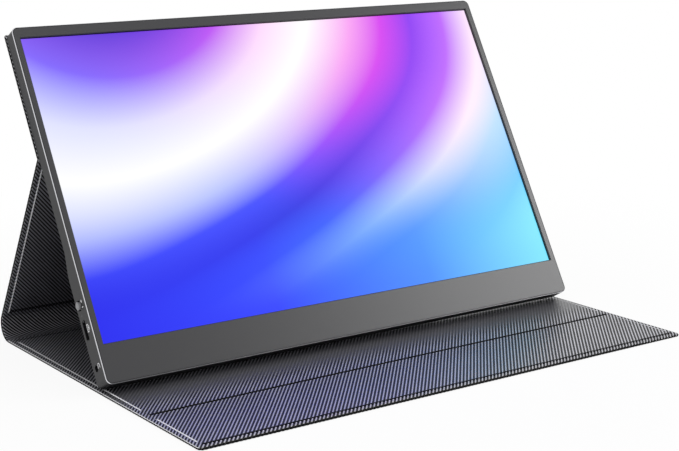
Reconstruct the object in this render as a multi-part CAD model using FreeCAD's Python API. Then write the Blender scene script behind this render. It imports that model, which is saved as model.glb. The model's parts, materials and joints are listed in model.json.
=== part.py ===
import FreeCAD, Part
import math
import os

from FreeCAD import Placement, Rotation, Vector

# Portable monitor held up by a folding folio stand. Millimetres.
# +X runs along the screen to the viewer's right, +Y away from the viewer, +Z up.
# The origin lies on the table, under the middle of the object's box.

# Screen and bezel
SCREEN_WIDTH = 344.2        # 15.6 inch diagonal at 16 to 9
SCREEN_HEIGHT = 193.6
BEZEL_SIDE = 4.5
BEZEL_TOP = 7.0
BEZEL_CHIN = 24.0
BEZEL_THICKNESS = 1.4
WINDOW_BEVEL = 0.4

# Rear cover: a tub that is deeper along the bottom, where the electronics are
CHAMBER_HEIGHT = 69.5
CHAMBER_CLEARANCE = 0.85
CHAMBER_RAMP = 13.5
SLAB_CORNER = 4.0
TOP_BACK_ROUND = 2.0
BOTTOM_ROUND = 2.4
RAMP_ROUND = 6.0
EDGE_CHAMFER = 0.4
COVER_WALL = 1.6
RIM_WIDTH = 0.8
SEAM_GAP = 0.1

# Display panel stack, front to back
TAPE_THICKNESS = 0.15
TAPE_SETBACK = 0.8
PANEL_GAP = 0.7
LCD_THICKNESS = 1.2
FILM_THICKNESS = 0.4
GUIDE_THICKNESS = 2.0
REFLECTOR_THICKNESS = 0.2
TRAY_WALL = 0.4
LED_BAR_WIDTH = 2.4
FOAM_THICKNESS = 2.25

# Sockets and controls in the left wall, by height above the slab's lower edge
SOCKET_THICKNESS = 3.2
SOCKET_WALL = 0.3
TONGUE_THICKNESS = 0.7
TONGUE_SETBACK = 1.2
HDMI_HEIGHT = 35.5
HDMI_WIDTH = 11.2
HDMI_LENGTH = 7.4
HDMI_CORNER = 1.1
PORT_REVEAL = 0.5
JACK_HEIGHT = 12.2
JACK_SINK = 0.6
JACK_BORE_RADIUS = 1.8
JACK_BORE_LENGTH = 13.0
JACK_BODY = 4.6
JACK_BACK_WALL = 1.0
JACK_REVEAL = 0.2
LIGHT_GAP = 3.2
LIGHT_RADIUS = 0.55
LIGHT_LENGTH = 7.0
JOG_PITCH = 6.3
JOG_RADIUS = 2.4
JOG_CLEARANCE = 0.8
JOG_PROUD = 1.3
JOG_CAP_LENGTH = 2.4
JOG_CAP_ROUND = 0.5
JOG_TRAVEL = 0.4
JOG_STEM_RADIUS = 0.8
JOG_BALL_RADIUS = 1.1
JOG_SWITCH_SIZE = 3.6
JOG_SWITCH_HEIGHT = 6.4
JOG_SWITCH_WALL = 1.6
JOG_SWITCH_SETBACK = 3.4
JOG_PIVOT_DEPTH = 1.4
JOG_PLUNGER_RADIUS = 1.3
JOG_PLUNGER_THICKNESS = 1.0
JOG_PLAY = 0.1

# USB-C sockets in the right wall
USB_LOWER_HEIGHT = 22.0
USB_PITCH = 16.0
USB_WIDTH = 9.0
USB_LENGTH = 7.0

# Circuit boards
BOARD_THICKNESS = 0.8
BOARD_EDGE_GAP = 0.5
MAIN_BOARD_WIDTH = 78.0
MAIN_BOARD_MARGIN = 7.0     # past the jack below and past the jog button above
USB_BOARD_WIDTH = 36.0
USB_BOARD_MARGIN = 14.0
PORT_BAY = 16.0
POST_INSET = 5.0
POST_RADIUS = 2.2
SCREW_RADIUS = 0.85
SCREW_PLAY = 0.05
SCREW_LENGTH = 3.4
SCREW_HEAD_RADIUS = 1.7
SCREW_HEAD_THICKNESS = 0.8
CHIP_SIZE = 14.0
CHIP_THICKNESS = 1.2
SMALL_CHIP_SIZE = 6.0
INDUCTOR_SIZE = 5.0
INDUCTOR_HEIGHT = 2.6
INDUCTOR_PITCH = 9.0
INDUCTOR_COUNT = 3
SHIELD_SIZE = 24.0
SHIELD_HEIGHT = 2.4
SHIELD_WALL = 0.3
DRIVER_BOARD_LENGTH = 200.0
DRIVER_BOARD_WIDTH = 9.0
DRIVER_BOARD_THICKNESS = 0.5
RIBBON_WIDTH = 6.0
RIBBON_LAP = 4.0
RIBBON_THICKNESS = 0.3

# Speakers
SPEAKER_LENGTH = 40.0
SPEAKER_WIDTH = 18.0
SPEAKER_CLEARANCE = 0.2
SPEAKER_OFFSET = 65.0
SPEAKER_LOW = 14.0
CONE_RADIUS = 7.3
CONE_THICKNESS = 0.4
CONE_RECESS = 1.0
LEAD_RADIUS = 0.5
LEAD_RISE = 2.0
GRILLE_SLOTS = 5
GRILLE_PITCH = 3.0
GRILLE_LENGTH = 24.0
GRILLE_WIDTH = 1.4
GRILLE_ROUND = 0.6

# Cover screws and what holds the slab to the folio
COVER_SCREW_INNER = 30.0
BOSS_CLEARANCE = 2.3
COVER_SCREW_HEIGHT = 8.0
BOSS_RADIUS = 2.6
COVER_SCREW_RADIUS = 1.0
COVER_SCREW_LENGTH = 6.0
COVER_HEAD_RADIUS = 2.0
COVER_HEAD_THICKNESS = 0.8
KEEPER_THICKNESS = 0.8
KEEPER_WIDTH = 14.0
FOAM_LENGTH = 40.0
FOAM_WIDTH = 12.0
FOAM_OFFSET = 110.0
FOAM_LOW_HEIGHT = 100.0

# Folio stand
STAND_TILT = 29.5           # screen, degrees back from upright
LEG_LEAN = 32.0             # leg, degrees forward from upright
FOLD_HEIGHT = 143.2         # prop fold, up the slab from its lower edge
CASE_OVERHANG = 0.6         # folio's side edges, out past the slab's
CASE_CORNER = 4.0           # at the front flap
TOP_CORNER = 2.4            # at the back panel
SKIN = 0.5
STIFFENER = 1.4
TURNED_EDGE = 3.0
BEND_RADIUS = 10.8
FRONT_REACH = 105.5         # base, forward of the slab's lower front edge
FLAP_LENGTH = 62.2
HINGE_GAP = 1.2
LEG_HINGE_GAP = 3.0
BEAD_RADIUS = 0.6
WEB_THICKNESS = 0.6
SPINE_GAP = 0.4
REST_GAP = 0.3
MAGNET_LENGTH = 20.0
MAGNET_WIDTH = 10.0
MAGNET_EDGE = 16.0
MAGNET_SIDE = 47.2
FLAP_MAGNET_RADIUS = 5.0

TOUCH = 1e-6                # points nearer than this count as one

# Slab sizes that follow
SLAB_WIDTH = SCREEN_WIDTH + 2 * BEZEL_SIDE
SLAB_HEIGHT = BEZEL_CHIN + SCREEN_HEIGHT + BEZEL_TOP
HALF_WIDTH = SLAB_WIDTH / 2
WALL_X = HALF_WIDTH - COVER_WALL
SCREEN_TOP = BEZEL_CHIN + SCREEN_HEIGHT
CASE_WIDTH = SLAB_WIDTH + 2 * CASE_OVERHANG
MAGNET_OUTER = CASE_WIDTH / 2 - MAGNET_SIDE
MAGNET_INNER = MAGNET_OUTER / 3
LCD_BORDER = min(BEZEL_SIDE, BEZEL_TOP) - COVER_WALL - PANEL_GAP

# Depths of the panel stack behind the front face
LCD_FRONT = BEZEL_THICKNESS + TAPE_THICKNESS
LCD_BACK = LCD_FRONT + LCD_THICKNESS
FILM_BACK = LCD_BACK + FILM_THICKNESS
GUIDE_BACK = FILM_BACK + GUIDE_THICKNESS
REFLECTOR_BACK = GUIDE_BACK + REFLECTOR_THICKNESS
TRAY_BACK = REFLECTOR_BACK + TRAY_WALL
DRIVER_BACK = TRAY_BACK + DRIVER_BOARD_THICKNESS
BOARD_FRONT = DRIVER_BACK + RIBBON_THICKNESS
BOARD_BACK = BOARD_FRONT + BOARD_THICKNESS
SLAB_INSIDE = TRAY_BACK + FOAM_THICKNESS
SLAB_DEPTH = SLAB_INSIDE + COVER_WALL
CHAMBER_INSIDE = BOARD_BACK + max(SOCKET_THICKNESS, JOG_SWITCH_SIZE) + CHAMBER_CLEARANCE
CHAMBER_DEPTH = CHAMBER_INSIDE + COVER_WALL

# Places of the boards and controls
PORT_DEPTH = BOARD_BACK + SOCKET_THICKNESS / 2
JACK_DEPTH = PORT_DEPTH - JACK_SINK
JOG_DEPTH = BOARD_BACK + JOG_SWITCH_SIZE / 2
LIGHT_HEIGHT = HDMI_HEIGHT + HDMI_WIDTH / 2 + LIGHT_GAP
JOG_HEIGHT = LIGHT_HEIGHT + JOG_PITCH
BAY_POST_HEIGHT = (JACK_HEIGHT + JACK_BODY / 2 + HDMI_HEIGHT - HDMI_WIDTH / 2) / 2
MAIN_BOARD_LOW = JACK_HEIGHT - MAIN_BOARD_MARGIN
MAIN_BOARD_HIGH = JOG_HEIGHT + MAIN_BOARD_MARGIN
USB_BOARD_LOW = USB_LOWER_HEIGHT - USB_BOARD_MARGIN
USB_BOARD_HIGH = USB_LOWER_HEIGHT + USB_PITCH + USB_BOARD_MARGIN
RIBBON_HEIGHT = SPEAKER_LOW + SPEAKER_WIDTH + 2 * LEAD_RISE + RIBBON_WIDTH / 2
MAIN_LEFT = -WALL_X + BOARD_EDGE_GAP
MAIN_RIGHT = MAIN_LEFT + MAIN_BOARD_WIDTH
USB_RIGHT = WALL_X - BOARD_EDGE_GAP
USB_LEFT = USB_RIGHT - USB_BOARD_WIDTH
DRIVER_LEFT = MAIN_RIGHT + RIBBON_LAP
COVER_SCREW_OUTER = -MAIN_RIGHT - BOSS_RADIUS - BOSS_CLEARANCE
JOG_HOLE_RADIUS = JOG_RADIUS + JOG_CLEARANCE
JOG_SWITCH_BORE = JOG_PLUNGER_RADIUS + JOG_PLAY
JOG_SWITCH_X = -WALL_X + JOG_SWITCH_SETBACK
JOG_PIVOT_X = JOG_SWITCH_X + JOG_PIVOT_DEPTH
JOG_PLUNGER_X = JOG_PIVOT_X + JOG_BALL_RADIUS + JOG_PLAY
JOG_CAP_X = -HALF_WIDTH - JOG_PROUD
SPEAKER_FRONT = BOARD_BACK + SPEAKER_CLEARANCE

# Stand geometry, worked out in the side view with the slab's lower front edge at y = 0
PANEL = 2 * SKIN + STIFFENER
TILT = math.radians(STAND_TILT)
LEAN = math.radians(LEG_LEAN)
ROUND_DROP = (CHAMBER_DEPTH - BOTTOM_ROUND) * math.sin(TILT) + BOTTOM_ROUND * (1 - math.cos(TILT))
SLAB_LIFT = PANEL + REST_GAP + ROUND_DROP
FOLD_DEPTH = SLAB_DEPTH + PANEL / 2
FOLD_Y = FOLD_HEIGHT * math.sin(TILT) + FOLD_DEPTH * math.cos(TILT)
FOLD_Z = SLAB_LIFT + FOLD_HEIGHT * math.cos(TILT) - FOLD_DEPTH * math.sin(TILT)
BEND_OFFSET = BEND_RADIUS - PANEL / 2
LEG_LENGTH = (FOLD_Z - BEND_OFFSET * math.sin(LEAN) - BEND_RADIUS) / math.cos(LEAN)
BEND_Y = FOLD_Y + LEG_LENGTH * math.sin(LEAN) - BEND_OFFSET * math.cos(LEAN)
BEND_ANGLE = 90.0 + LEG_LEAN
SHIFT_Y = (FRONT_REACH - BEND_Y - BEND_RADIUS) / 2
BASE_FRONT_Y = SHIFT_Y - FRONT_REACH
CREASE_Y = BASE_FRONT_Y + FLAP_LENGTH
BACK_PANEL_LENGTH = SLAB_HEIGHT - FOLD_HEIGHT

# Joint axes, each a (y, z) point on a line along X
PROP_AXIS = (FOLD_Y + SHIFT_Y, FOLD_Z)
CREASE_AXIS = (CREASE_Y, PANEL / 2)
SPINE_REACH = BEND_OFFSET / math.cos(math.radians(BEND_ANGLE / 4))


def spine_axis(turn):
    """Corner of the folded spine, this many degrees round the bend from the table."""
    angle = math.radians(turn)
    y = BEND_Y + SHIFT_Y + SPINE_REACH * math.sin(angle)
    return y, BEND_RADIUS - SPINE_REACH * math.cos(angle)


SPINE_LOWER_AXIS = spine_axis(BEND_ANGLE / 4)
SPINE_UPPER_AXIS = spine_axis(3 * BEND_ANGLE / 4)

# Frames: X along the screen, Y along the sheet or up the slab, Z towards the viewer's side
SLAB_PLACE = Placement(Vector(0, SHIFT_Y, SLAB_LIFT), Rotation(Vector(1, 0, 0), 90 - STAND_TILT))
BACK_PANEL_PLACE = Placement(Vector(0, *PROP_AXIS), Rotation(Vector(1, 0, 0), 90 - STAND_TILT))
LEG_PLACE = Placement(Vector(0, *PROP_AXIS), Rotation(Vector(1, 0, 0), BEND_ANGLE))
BASE_PLACE = Placement(Vector(0, *CREASE_AXIS), Rotation())


def flat_point(a, b):
    return Vector(a, b, 0)


def side_point(a, b):
    return Vector(0, a, b)


def rounded_wire(corners, point=flat_point):
    """Closed outline through (a, b, radius) corners, with tangent arcs where radius is over 0."""
    stops = []
    for index, (a, b, radius) in enumerate(corners):
        here = Vector(a, b, 0)
        before = (Vector(*corners[index - 1][:2], 0) - here).normalize()
        after = (Vector(*corners[(index + 1) % len(corners)][:2], 0) - here).normalize()
        if radius <= 0:
            stops.append((here, None, here))
            continue
        half = before.getAngle(after) / 2
        reach = radius / math.tan(half)
        middle = here + (before + after).normalize() * (radius / math.sin(half) - radius)
        stops.append((here + before * reach, middle, here + after * reach))
    edges = []
    for index, (start, middle, end) in enumerate(stops):
        if middle is not None:
            arc = [point(v.x, v.y) for v in (start, middle, end)]
            edges.append(Part.Arc(*arc).toShape())
        following = stops[(index + 1) % len(stops)][0]
        if (following - end).Length > TOUCH:
            line = Part.LineSegment(point(end.x, end.y), point(following.x, following.y))
            edges.append(line.toShape())
    return Part.Wire(edges)


def rectangle(x_low, x_high, y_low, y_high, low_radius=0.0, high_radius=0.0):
    return [(x_low, y_low, low_radius), (x_high, y_low, low_radius),
            (x_high, y_high, high_radius), (x_low, y_high, high_radius)]


def plate(corners, front, back):
    """Flat piece with this outline, between two depths behind the frame's front plane."""
    face = Part.Face(rounded_wire(corners))
    face.translate(Vector(0, 0, -back))
    return face.extrude(Vector(0, 0, back - front))


def block(x_low, x_high, y_low, y_high, front, back):
    return plate(rectangle(x_low, x_high, y_low, y_high), front, back)


def rod_x(radius, x_low, x_high, height, depth):
    return Part.makeCylinder(radius, x_high - x_low, Vector(x_low, height, -depth), Vector(1, 0, 0))


def rod_z(radius, x, height, front, back):
    return Part.makeCylinder(radius, back - front, Vector(x, height, -back), Vector(0, 0, 1))


def slot_x(x_low, x_high, height, depth, width, thickness, corner):
    """Prism along X with a rounded section, for a socket or its opening."""
    section = [(height - width / 2, -depth - thickness / 2, corner),
               (height + width / 2, -depth - thickness / 2, corner),
               (height + width / 2, -depth + thickness / 2, corner),
               (height - width / 2, -depth + thickness / 2, corner)]
    face = Part.Face(rounded_wire(section, side_point))
    face.translate(Vector(x_low, 0, 0))
    return face.extrude(Vector(x_high - x_low, 0, 0))


def save(name, shapes, place):
    """Put a node's solids in the part's frame and write them."""
    solids = [shape.copy() for shape in shapes]
    for solid in solids:
        solid.Placement = place.multiply(solid.Placement)
    node = solids[0] if len(solids) == 1 else Part.makeCompound(solids)
    node.exportStep(os.path.join("parts", name + ".step"))


# Slab
def slab_form(inset, front):
    """Outer or inner form of the slab, every wall moved in by inset, from a depth to its back."""
    ramp_shift = inset * math.tan(math.atan2(CHAMBER_DEPTH - SLAB_DEPTH, CHAMBER_RAMP) / 2)
    back = SLAB_DEPTH - inset
    deep = CHAMBER_DEPTH - inset
    profile = [(inset, -front, 0), (inset, -deep, max(BOTTOM_ROUND - inset, SEAM_GAP)),
               (CHAMBER_HEIGHT - ramp_shift, -deep, RAMP_ROUND),
               (CHAMBER_HEIGHT + CHAMBER_RAMP - ramp_shift, -back, RAMP_ROUND),
               (SLAB_HEIGHT - inset, -back, max(TOP_BACK_ROUND - inset, SEAM_GAP)),
               (SLAB_HEIGHT - inset, -front, 0)]
    face = Part.Face(rounded_wire(profile, side_point))
    face.translate(Vector(-HALF_WIDTH, 0, 0))
    side = face.extrude(Vector(SLAB_WIDTH, 0, 0))
    return side.common(plate(slab_outline(inset), front, CHAMBER_DEPTH))


def slab_outline(inset):
    corner = SLAB_CORNER - inset
    half = HALF_WIDTH - inset
    return rectangle(-half, half, inset, SLAB_HEIGHT - inset, corner, corner)


def front_edges(shape):
    return [edge for edge in shape.Edges if all(abs(v.Z) < TOUCH for v in edge.Vertexes)]


def screw_spots():
    columns = (COVER_SCREW_INNER, COVER_SCREW_OUTER)
    return [(side * x, COVER_SCREW_HEIGHT) for x in columns for side in (-1, 1)]


def post_spots():
    """Where the rear cover's posts carry the two boards."""
    bay = MAIN_LEFT + PORT_BAY
    far = MAIN_RIGHT - POST_INSET
    main = [(bay, BAY_POST_HEIGHT), (bay, MAIN_BOARD_HIGH - POST_INSET),
            (far, MAIN_BOARD_LOW + POST_INSET), (far, MAIN_BOARD_HIGH - POST_INSET)]
    usb = [(USB_LEFT + POST_INSET, USB_BOARD_LOW + POST_INSET),
           (USB_LEFT + POST_INSET, USB_BOARD_HIGH - POST_INSET)]
    return main, usb


def usb_heights():
    return [USB_LOWER_HEIGHT, USB_LOWER_HEIGHT + USB_PITCH]


def rear_cover():
    solid = slab_form(0.0, 0.0)
    solid = solid.makeChamfer(EDGE_CHAMFER, front_edges(solid))
    cover = solid.cut(slab_form(COVER_WALL, 0.0))
    cover = cover.cut(plate(slab_outline(RIM_WIDTH), 0.0, BEZEL_THICKNESS))
    outside = -HALF_WIDTH - SEAM_GAP
    inside = -WALL_X + SEAM_GAP
    reveal = 2 * PORT_REVEAL
    cuts = [slot_x(outside, inside, HDMI_HEIGHT, PORT_DEPTH, HDMI_WIDTH + reveal,
                   SOCKET_THICKNESS + reveal, HDMI_CORNER),
            rod_x(JACK_BORE_RADIUS + JACK_REVEAL, outside, inside, JACK_HEIGHT, JACK_DEPTH),
            rod_x(LIGHT_RADIUS + SCREW_PLAY, outside, inside, LIGHT_HEIGHT, JOG_DEPTH),
            rod_x(JOG_HOLE_RADIUS, outside, inside, JOG_HEIGHT, JOG_DEPTH)]
    for height in usb_heights():
        width = USB_WIDTH + reveal
        thick = SOCKET_THICKNESS + reveal
        cuts.append(slot_x(-inside, -outside, height, PORT_DEPTH, width, thick, thick / 2 - SEAM_GAP))
    for side in (-1, 1):
        for index in range(GRILLE_SLOTS):
            height = SPEAKER_LOW + SPEAKER_WIDTH / 2 + (index - (GRILLE_SLOTS - 1) / 2) * GRILLE_PITCH
            middle = side * SPEAKER_OFFSET
            half = GRILLE_LENGTH / 2
            outline = rectangle(middle - half, middle + half, height - GRILLE_WIDTH / 2,
                                height + GRILLE_WIDTH / 2, GRILLE_ROUND, GRILLE_ROUND)
            cuts.append(plate(outline, CHAMBER_INSIDE - SEAM_GAP, CHAMBER_DEPTH + SEAM_GAP))
    for x, height in screw_spots():
        hole = COVER_SCREW_RADIUS + SEAM_GAP
        cuts.append(rod_z(hole, x, height, CHAMBER_INSIDE - SEAM_GAP, CHAMBER_DEPTH + SEAM_GAP))
        sunk = CHAMBER_DEPTH - COVER_HEAD_THICKNESS
        cuts.append(rod_z(COVER_HEAD_RADIUS + SEAM_GAP, x, height, sunk, CHAMBER_DEPTH + SEAM_GAP))
    cover = cover.cut(cuts)
    main, usb = post_spots()
    posts = [rod_z(POST_RADIUS, x, height, BOARD_BACK, CHAMBER_INSIDE + SEAM_GAP)
             for x, height in main + usb]
    cover = cover.fuse(posts)
    tip = BOARD_FRONT + SCREW_LENGTH + SEAM_GAP
    pilots = [rod_z(SCREW_RADIUS + SCREW_PLAY, x, height, BOARD_BACK - SEAM_GAP, tip)
              for x, height in main + usb]
    return cover.cut(pilots).removeSplitter()


def front_bezel():
    bezel = plate(slab_outline(RIM_WIDTH + SEAM_GAP), 0.0, BEZEL_THICKNESS)
    half = SCREEN_WIDTH / 2
    window = plate(rectangle(-half, half, BEZEL_CHIN, SCREEN_TOP), 0.0, BEZEL_THICKNESS)
    bezel = bezel.cut(window)
    inner = [edge for edge in front_edges(bezel) if edge.BoundBox.XMax <= half + TOUCH
             and edge.BoundBox.XMin >= -half - TOUCH and edge.BoundBox.YMin >= BEZEL_CHIN - TOUCH
             and edge.BoundBox.YMax <= SCREEN_TOP + TOUCH]
    bezel = bezel.makeChamfer(WINDOW_BEVEL, inner)
    end = CHAMBER_INSIDE - SEAM_GAP
    bosses = [rod_z(BOSS_RADIUS, x, height, BEZEL_THICKNESS - SEAM_GAP, end)
              for x, height in screw_spots()]
    tip = CHAMBER_DEPTH - COVER_SCREW_LENGTH - SEAM_GAP
    pilots = [rod_z(COVER_SCREW_RADIUS + SCREW_PLAY, x, height, tip, end + SEAM_GAP)
              for x, height in screw_spots()]
    return bezel.fuse(bosses).cut(pilots).removeSplitter()


def panel_outline(margin, foot=0.0):
    """Display panel's outline: the lit area plus a margin, its lower edge raised by foot."""
    half = SCREEN_WIDTH / 2 + margin
    return rectangle(-half, half, BEZEL_CHIN - margin + foot, SCREEN_TOP + margin)


def panel_stack():
    tape = plate(panel_outline(LCD_BORDER), BEZEL_THICKNESS, LCD_FRONT)
    tape = tape.cut(plate(panel_outline(TAPE_SETBACK), BEZEL_THICKNESS, LCD_FRONT))
    tray = plate(panel_outline(LCD_BORDER), LCD_BACK, TRAY_BACK)
    inner = LCD_BORDER - TRAY_WALL
    tray = tray.cut(plate(panel_outline(inner), LCD_BACK, REFLECTOR_BACK))
    half = SCREEN_WIDTH / 2 + inner
    low = BEZEL_CHIN - inner
    return {
        "bezel_tape": [tape],
        "lcd_panel": [plate(panel_outline(LCD_BORDER), LCD_FRONT, LCD_BACK)],
        "optical_films": [plate(panel_outline(inner), LCD_BACK, FILM_BACK)],
        "light_guide": [plate(panel_outline(inner, LED_BAR_WIDTH), FILM_BACK, GUIDE_BACK)],
        "led_bar": [block(-half, half, low, low + LED_BAR_WIDTH, FILM_BACK, GUIDE_BACK)],
        "reflector_film": [plate(panel_outline(inner), GUIDE_BACK, REFLECTOR_BACK)],
        "panel_tray": [tray],
    }


def panel_fittings():
    """Driver board, its ribbon to the main board, foam behind the tray and the keeper plates."""
    low = BEZEL_CHIN
    high = low + DRIVER_BOARD_WIDTH
    middle = (low + high) / 2
    driver = block(DRIVER_LEFT, DRIVER_LEFT + DRIVER_BOARD_LENGTH, low, high, TRAY_BACK, DRIVER_BACK)
    ribbon = block(MAIN_RIGHT - RIBBON_LAP, DRIVER_LEFT + RIBBON_LAP, middle - RIBBON_WIDTH / 2,
                   middle + RIBBON_WIDTH / 2, DRIVER_BACK, BOARD_FRONT)
    foam = []
    for x in (-FOAM_OFFSET, FOAM_OFFSET):
        for height in (FOAM_LOW_HEIGHT, (magnet_rows()[0] + magnet_rows()[1]) / 2):
            foam.append(block(x - FOAM_LENGTH / 2, x + FOAM_LENGTH / 2, height - FOAM_WIDTH / 2,
                              height + FOAM_WIDTH / 2, TRAY_BACK, SLAB_INSIDE))
    reach = MAGNET_OUTER + MAGNET_LENGTH / 2
    keepers = [block(-reach, reach, height - KEEPER_WIDTH / 2, height + KEEPER_WIDTH / 2,
                     SLAB_INSIDE - KEEPER_THICKNESS, SLAB_INSIDE) for height in magnet_rows()]
    return {
        "panel_driver_board": [driver],
        "panel_ribbon": [ribbon],
        "foam_pads": foam,
        "keeper_plates": keepers,
    }


def main_board():
    board = block(MAIN_LEFT, MAIN_RIGHT, MAIN_BOARD_LOW, MAIN_BOARD_HIGH, BOARD_FRONT, BOARD_BACK)
    half = JACK_BODY / 2 + SEAM_GAP
    end = -WALL_X + JACK_BORE_LENGTH + JACK_BACK_WALL + SEAM_GAP
    notch = block(-WALL_X, end, JACK_HEIGHT - half, JACK_HEIGHT + half, BOARD_FRONT, BOARD_BACK)
    holes = [rod_z(SCREW_RADIUS + SCREW_PLAY, x, height, BOARD_FRONT, BOARD_BACK)
             for x, height in post_spots()[0]]
    return board.cut([notch] + holes)


def usb_board():
    board = block(USB_LEFT, USB_RIGHT, USB_BOARD_LOW, USB_BOARD_HIGH, BOARD_FRONT, BOARD_BACK)
    holes = [rod_z(SCREW_RADIUS + SCREW_PLAY, x, height, BOARD_FRONT, BOARD_BACK)
             for x, height in post_spots()[1]]
    return board.cut(holes)


def chip(x, height, size, thickness):
    half = size / 2
    return block(x - half, x + half, height - half, height + half, BOARD_BACK, BOARD_BACK + thickness)


def board_parts():
    """Chips, coils, shield and light source on the backs of the boards."""
    middle_x = (MAIN_LEFT + PORT_BAY + MAIN_RIGHT) / 2
    middle = (MAIN_BOARD_LOW + MAIN_BOARD_HIGH) / 2
    half = SHIELD_SIZE / 2
    can = block(middle_x - half, middle_x + half, middle - half, middle + half,
                BOARD_BACK, BOARD_BACK + SHIELD_HEIGHT)
    half -= SHIELD_WALL
    can = can.cut(block(middle_x - half, middle_x + half, middle - half, middle + half,
                        BOARD_BACK, BOARD_BACK + SHIELD_HEIGHT - SHIELD_WALL))
    coil_height = MAIN_BOARD_LOW + POST_INSET
    first = middle_x - (INDUCTOR_COUNT - 1) / 2 * INDUCTOR_PITCH
    coils = [chip(first + index * INDUCTOR_PITCH, coil_height, INDUCTOR_SIZE, INDUCTOR_HEIGHT)
             for index in range(INDUCTOR_COUNT)]
    light_x = -HALF_WIDTH + LIGHT_LENGTH
    light = block(light_x, light_x + 2 * LIGHT_RADIUS, LIGHT_HEIGHT - LIGHT_RADIUS,
                  LIGHT_HEIGHT + LIGHT_RADIUS, BOARD_BACK, JOG_DEPTH + LIGHT_RADIUS)
    usb_middle = (USB_LEFT + USB_RIGHT - USB_LENGTH) / 2
    return {
        "main_board_chips": [chip(middle_x, middle, CHIP_SIZE, CHIP_THICKNESS), light] + coils,
        "shield_can": [can],
        "usb_board_chips": [chip(usb_middle, height, SMALL_CHIP_SIZE, CHIP_THICKNESS)
                            for height in usb_heights()],
    }


def screw(x, height, seat, length, radius, head_radius, head_thickness, back):
    """Screw with its head on seat; it enters from the back of the slab, or from the front."""
    head = rod_z(head_radius, x, height, seat - head_thickness, seat)
    front = seat - length if back else seat
    shank = rod_z(radius, x, height, front, seat - head_thickness if back else seat + length)
    return head.fuse(shank).removeSplitter()


def fasteners():
    main, usb = post_spots()
    board = [screw(x, height, BOARD_FRONT, SCREW_LENGTH, SCREW_RADIUS, SCREW_HEAD_RADIUS,
                   SCREW_HEAD_THICKNESS, False) for x, height in main + usb]
    cover = [screw(x, height, CHAMBER_DEPTH, COVER_SCREW_LENGTH, COVER_SCREW_RADIUS, COVER_HEAD_RADIUS,
                   COVER_HEAD_THICKNESS, True) for x, height in screw_spots()]
    return {"board_screws": board, "cover_screws": cover}


def socket(x_mouth, x_back, height, width, corner):
    """Thin metal shell with a contact tongue, open at its mouth and seated on a board."""
    low = min(x_mouth, x_back)
    high = max(x_mouth, x_back)
    inward = math.copysign(SOCKET_WALL, x_back - x_mouth)
    shell = slot_x(low, high, height, PORT_DEPTH, width, SOCKET_THICKNESS, corner)
    wall = 2 * SOCKET_WALL
    bore_low = min(x_mouth, x_back - inward)
    bore_high = max(x_mouth, x_back - inward)
    bore = slot_x(bore_low, bore_high, height, PORT_DEPTH, width - wall, SOCKET_THICKNESS - wall,
                  corner - SOCKET_WALL)
    tip = x_mouth + math.copysign(TONGUE_SETBACK, x_back - x_mouth)
    half = width / 2 - TONGUE_SETBACK
    tongue = block(min(tip, x_back), max(tip, x_back), height - half, height + half,
                   PORT_DEPTH - TONGUE_THICKNESS / 2, PORT_DEPTH + TONGUE_THICKNESS / 2)
    return shell.cut(bore).fuse(tongue).removeSplitter()


def sockets():
    usb_corner = SOCKET_THICKNESS / 2 - SEAM_GAP
    jack_end = -WALL_X + JACK_BORE_LENGTH + JACK_BACK_WALL
    half = JACK_BODY / 2
    jack = block(-WALL_X, jack_end, JACK_HEIGHT - half, JACK_HEIGHT + half,
                 JACK_DEPTH - half, JACK_DEPTH + half)
    bore_end = -WALL_X + JACK_BORE_LENGTH
    jack = jack.cut(rod_x(JACK_BORE_RADIUS, -WALL_X, bore_end, JACK_HEIGHT, JACK_DEPTH))
    pipe = rod_x(LIGHT_RADIUS, -HALF_WIDTH, -HALF_WIDTH + LIGHT_LENGTH, LIGHT_HEIGHT, JOG_DEPTH)
    return {
        "mini_hdmi_socket": [socket(-WALL_X, -WALL_X + HDMI_LENGTH, HDMI_HEIGHT, HDMI_WIDTH, HDMI_CORNER)],
        "usb_c_sockets": [socket(WALL_X, WALL_X - USB_LENGTH, height, USB_WIDTH, usb_corner)
                          for height in usb_heights()],
        "headphone_jack": [jack],
        "status_light_pipe": [pipe],
    }


def jog_parts():
    """Jog button: cap and stem rock on a ball that pushes a plunger inside the switch."""
    plunger_end = JOG_PLUNGER_X + JOG_PLUNGER_THICKNESS
    bore_end = plunger_end + JOG_TRAVEL + JOG_PLAY
    half = JOG_SWITCH_SIZE / 2
    housing = block(JOG_SWITCH_X, bore_end + JOG_SWITCH_WALL, JOG_HEIGHT - JOG_SWITCH_HEIGHT / 2,
                    JOG_HEIGHT + JOG_SWITCH_HEIGHT / 2, JOG_DEPTH - half, JOG_DEPTH + half)
    housing = housing.cut(rod_x(JOG_SWITCH_BORE, JOG_SWITCH_X, bore_end, JOG_HEIGHT, JOG_DEPTH))
    plunger = rod_x(JOG_PLUNGER_RADIUS, JOG_PLUNGER_X, plunger_end, JOG_HEIGHT, JOG_DEPTH)
    cap_end = JOG_CAP_X + JOG_CAP_LENGTH
    stem = rod_x(JOG_STEM_RADIUS, cap_end, JOG_PIVOT_X, JOG_HEIGHT, JOG_DEPTH)
    stem = stem.fuse(Part.makeSphere(JOG_BALL_RADIUS, Vector(JOG_PIVOT_X, JOG_HEIGHT, -JOG_DEPTH)))
    cap = rod_x(JOG_RADIUS, JOG_CAP_X, cap_end, JOG_HEIGHT, JOG_DEPTH)
    rim = [edge for edge in cap.Edges if edge.BoundBox.XMax < JOG_CAP_X + TOUCH]
    return {
        "jog_switch_housing": [housing],
        "jog_plunger": [plunger],
        "jog_stem": [stem.removeSplitter()],
        "jog_cap": [cap.makeFillet(JOG_CAP_ROUND, rim)],
    }


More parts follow.
